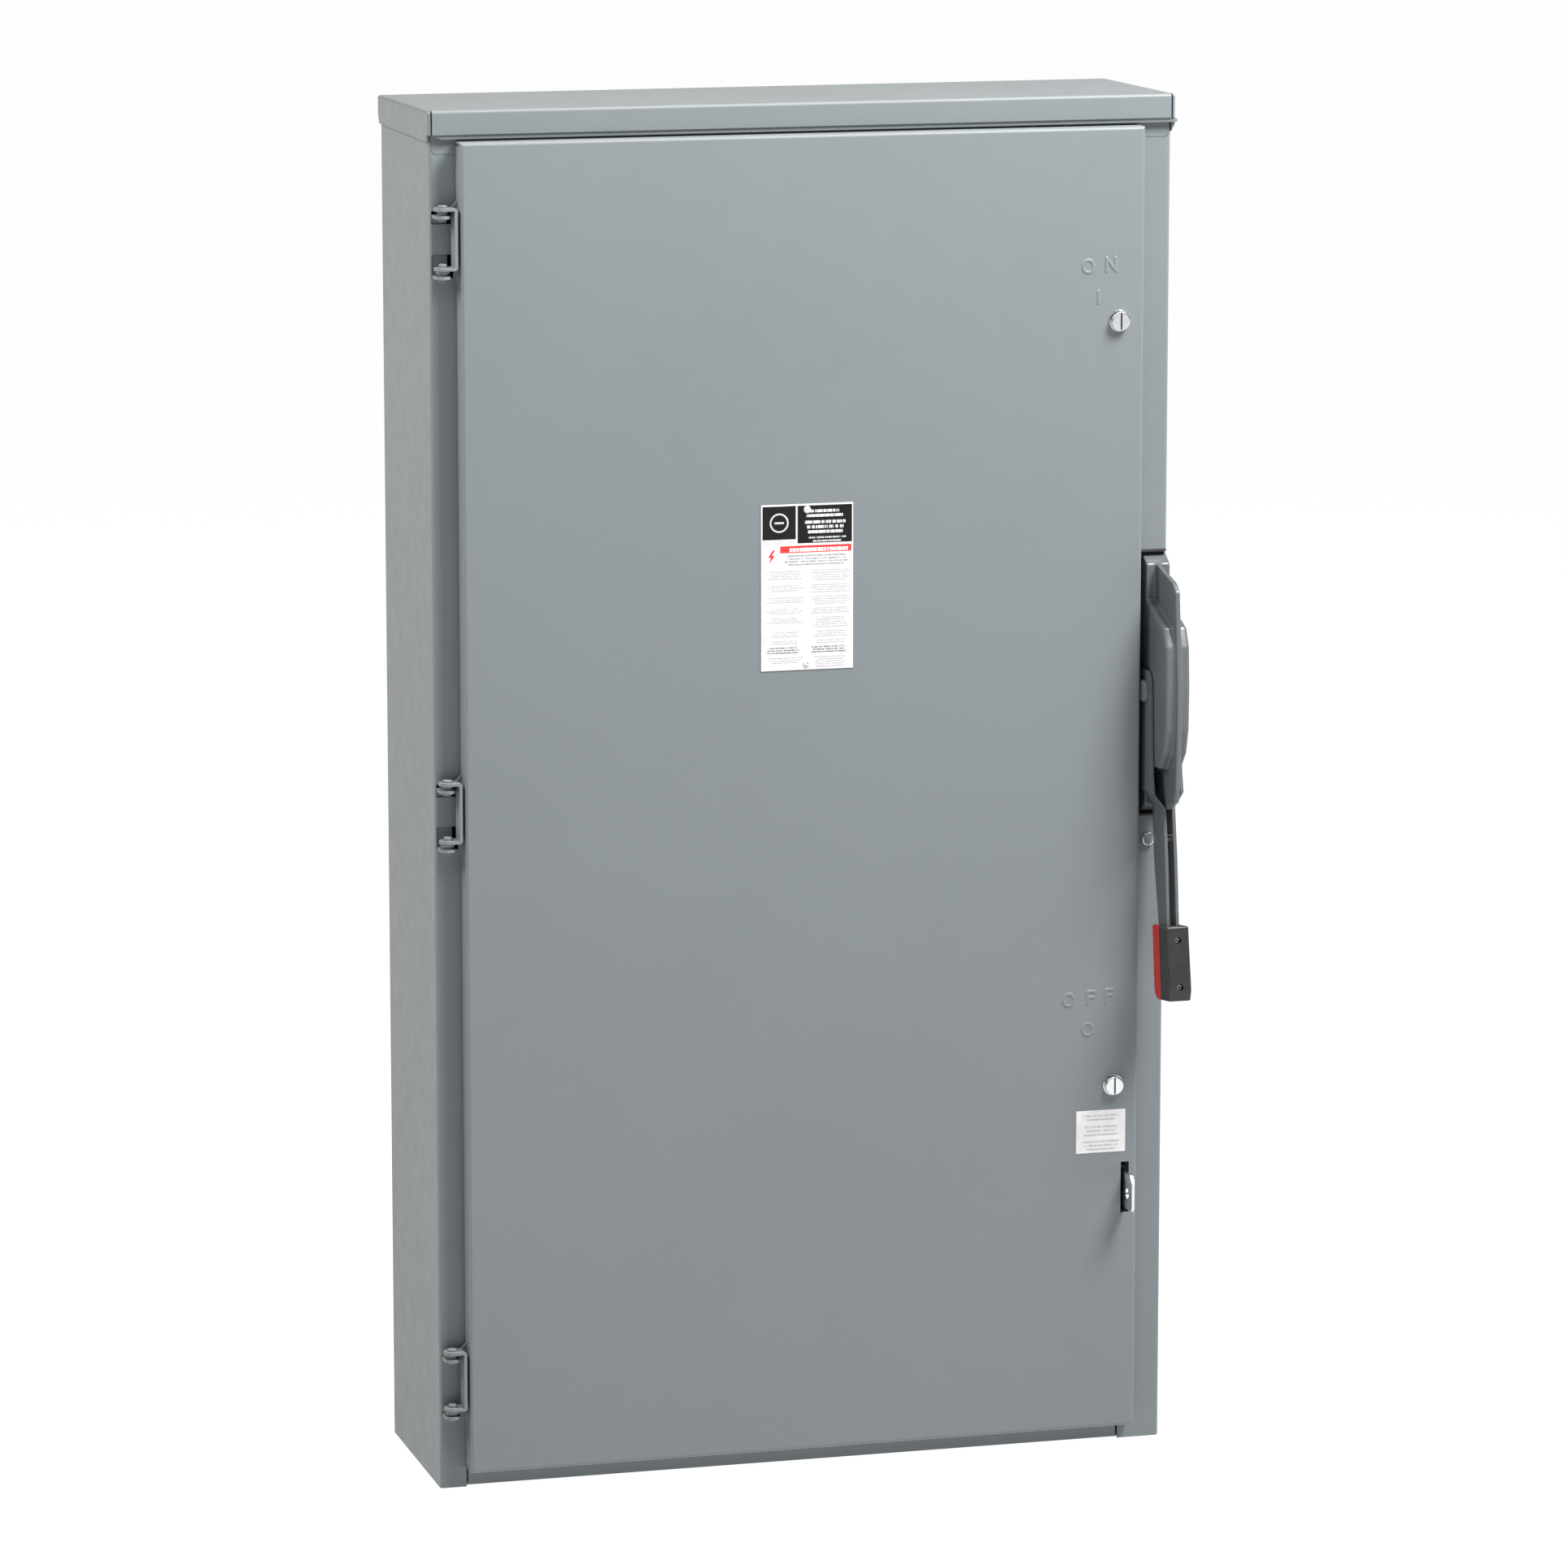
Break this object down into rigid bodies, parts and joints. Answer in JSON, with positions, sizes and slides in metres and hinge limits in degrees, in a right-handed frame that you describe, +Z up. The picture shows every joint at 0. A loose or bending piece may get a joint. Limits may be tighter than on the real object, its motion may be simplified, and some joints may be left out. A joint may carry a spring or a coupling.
{
  "type": "ac disconnect box",
  "caption": "Wall-mounted outdoor safety switch: grey folded-steel box with rain cap, hinged door, side fork handle with red and black grip, and a fused three-pole knife switch.",
  "frame": {"origin": "centre of the four wall-bolt holes, on the back plane of the case", "axes": "+X to the right of a person facing the door, +Y into the wall, +Z up"},
  "size_m": [0.7135, 0.2907, 1.281],
  "materials": {
    "enclosure_paint": "satin grey powder coat",
    "door_paint": "satin grey powder coat",
    "bonnet_paint": "glossy dark grey enamel on a casting",
    "arm_paint": "semi-gloss dark grey paint",
    "zinc_screw": "bright zinc plate",
    "label_stock": "printed polyester film",
    "rivet_plastic": "clear-white push rivets",
    "gasket_rubber": "matt black sponge rubber",
    "grip_black": "satin black moulding",
    "grip_red": "satin red moulding",
    "mechanism_steel": "yellowish zinc-plated steel",
    "pan_steel": "grey powder coat",
    "phenolic": "moulded dark thermoset",
    "copper": "tin-plated copper",
    "pivot_steel": "plain steel",
    "lug_aluminium": "tin-plated aluminium"
  },
  "bodies": {
    "enclosure": {"arc_chutes": "phenolic", "arc_plates": "mechanism_steel", "base_screws": "zinc_screw", "bottom_panel": "enclosure_paint", "enclosure_wrapper": "enclosure_paint", "flange_screw": "zinc_screw", "ground_lug": "lug_aluminium", "ground_lug_screw": "zinc_screw", "handle_bonnet": "bonnet_paint", "hinge_base": "phenolic", "hinge_jaws": "copper", "hinge_leaves": "enclosure_paint", "hinge_pins": "door_paint", "hinge_pivots": "pivot_steel", "lever_retainer": "zinc_screw", "line_base": "phenolic", "line_jaws": "copper", "line_lug_screws": "lug_aluminium", "line_lugs": "lug_aluminium", "load_base": "phenolic", "load_lug_screws": "lug_aluminium", "load_lugs": "lug_aluminium", "load_straps": "copper", "lower_fuse_clips": "copper", "mechanism_plate": "mechanism_steel", "mounting_pan": "pan_steel", "notch_gasket": "gasket_rubber", "padlock_hasp": "zinc_screw", "pan_nuts": "zinc_screw", "pan_studs": "zinc_screw", "phase_barriers": "phenolic", "rain_hood": "enclosure_paint", "toggle_spring": "mechanism_steel", "top_panel": "enclosure_paint", "upper_fuse_clips": "copper", "weld_nuts": "enclosure_paint"},
    "door": {"door_panel": "door_paint", "hinge_brackets": "door_paint", "hinge_washers": "door_paint", "screw_washers": "zinc_screw", "label_plate": "label_stock", "label_rivets": "rivet_plastic", "small_sticker": "label_stock"},
    "upper_screw": {"door_screw_upper": "zinc_screw"},
    "lower_screw": {"door_screw_lower": "zinc_screw"},
    "handle": {"handle_arm_left": "arm_paint", "handle_arm_right": "arm_paint", "handle_pivot_studs": "arm_paint", "handle_cross_pin": "zinc_screw", "grip_front": "grip_black", "grip_rear": "grip_red", "grip_screws": "zinc_screw", "drive_crank": "mechanism_steel"},
    "link": {"drive_link": "mechanism_steel"},
    "rotor": {"switch_blades": "copper", "crossbar": "phenolic", "drive_lever": "mechanism_steel"}
  },
  "joints": [
    {"name": "door_hinge", "type": "hinge", "parent": "enclosure", "child": "door", "pos_m": [-0.3415, -0.216, 0], "axis": [0, 0, -1], "range_deg": [0, 160]},
    {"name": "upper_screw_turn", "type": "hinge", "parent": "door", "child": "upper_screw", "pos_m": [0.2955, -0.226, 0.435], "axis": [0, 1, 0], "continuous": true},
    {"name": "lower_screw_turn", "type": "hinge", "parent": "door", "child": "lower_screw", "pos_m": [0.2955, -0.226, -0.288], "axis": [0, 1, 0], "continuous": true},
    {"name": "handle_swing", "type": "hinge", "parent": "enclosure", "child": "handle", "pos_m": [0.34, -0.225, 0.087], "axis": [-1, 0, 0], "range_deg": [0, 158]},
    {"name": "link_swing", "type": "hinge", "parent": "handle", "child": "link", "pos_m": [0.3337, -0.22882, 0.06737], "axis": [-1, 0, 0], "range_deg": [-158, 0]},
    {"name": "rotor_swing", "type": "hinge", "parent": "enclosure", "child": "rotor", "pos_m": [-0.03, -0.08, 0.087], "axis": [-1, 0, 0], "range_deg": [0, 62.1]}
  ],
  "couplings": [
    {"joint": "link_swing", "follows": "handle_swing", "ratio": -1},
    {"joint": "rotor_swing", "follows": "handle_swing", "ratio": 0.3924}
  ]
}
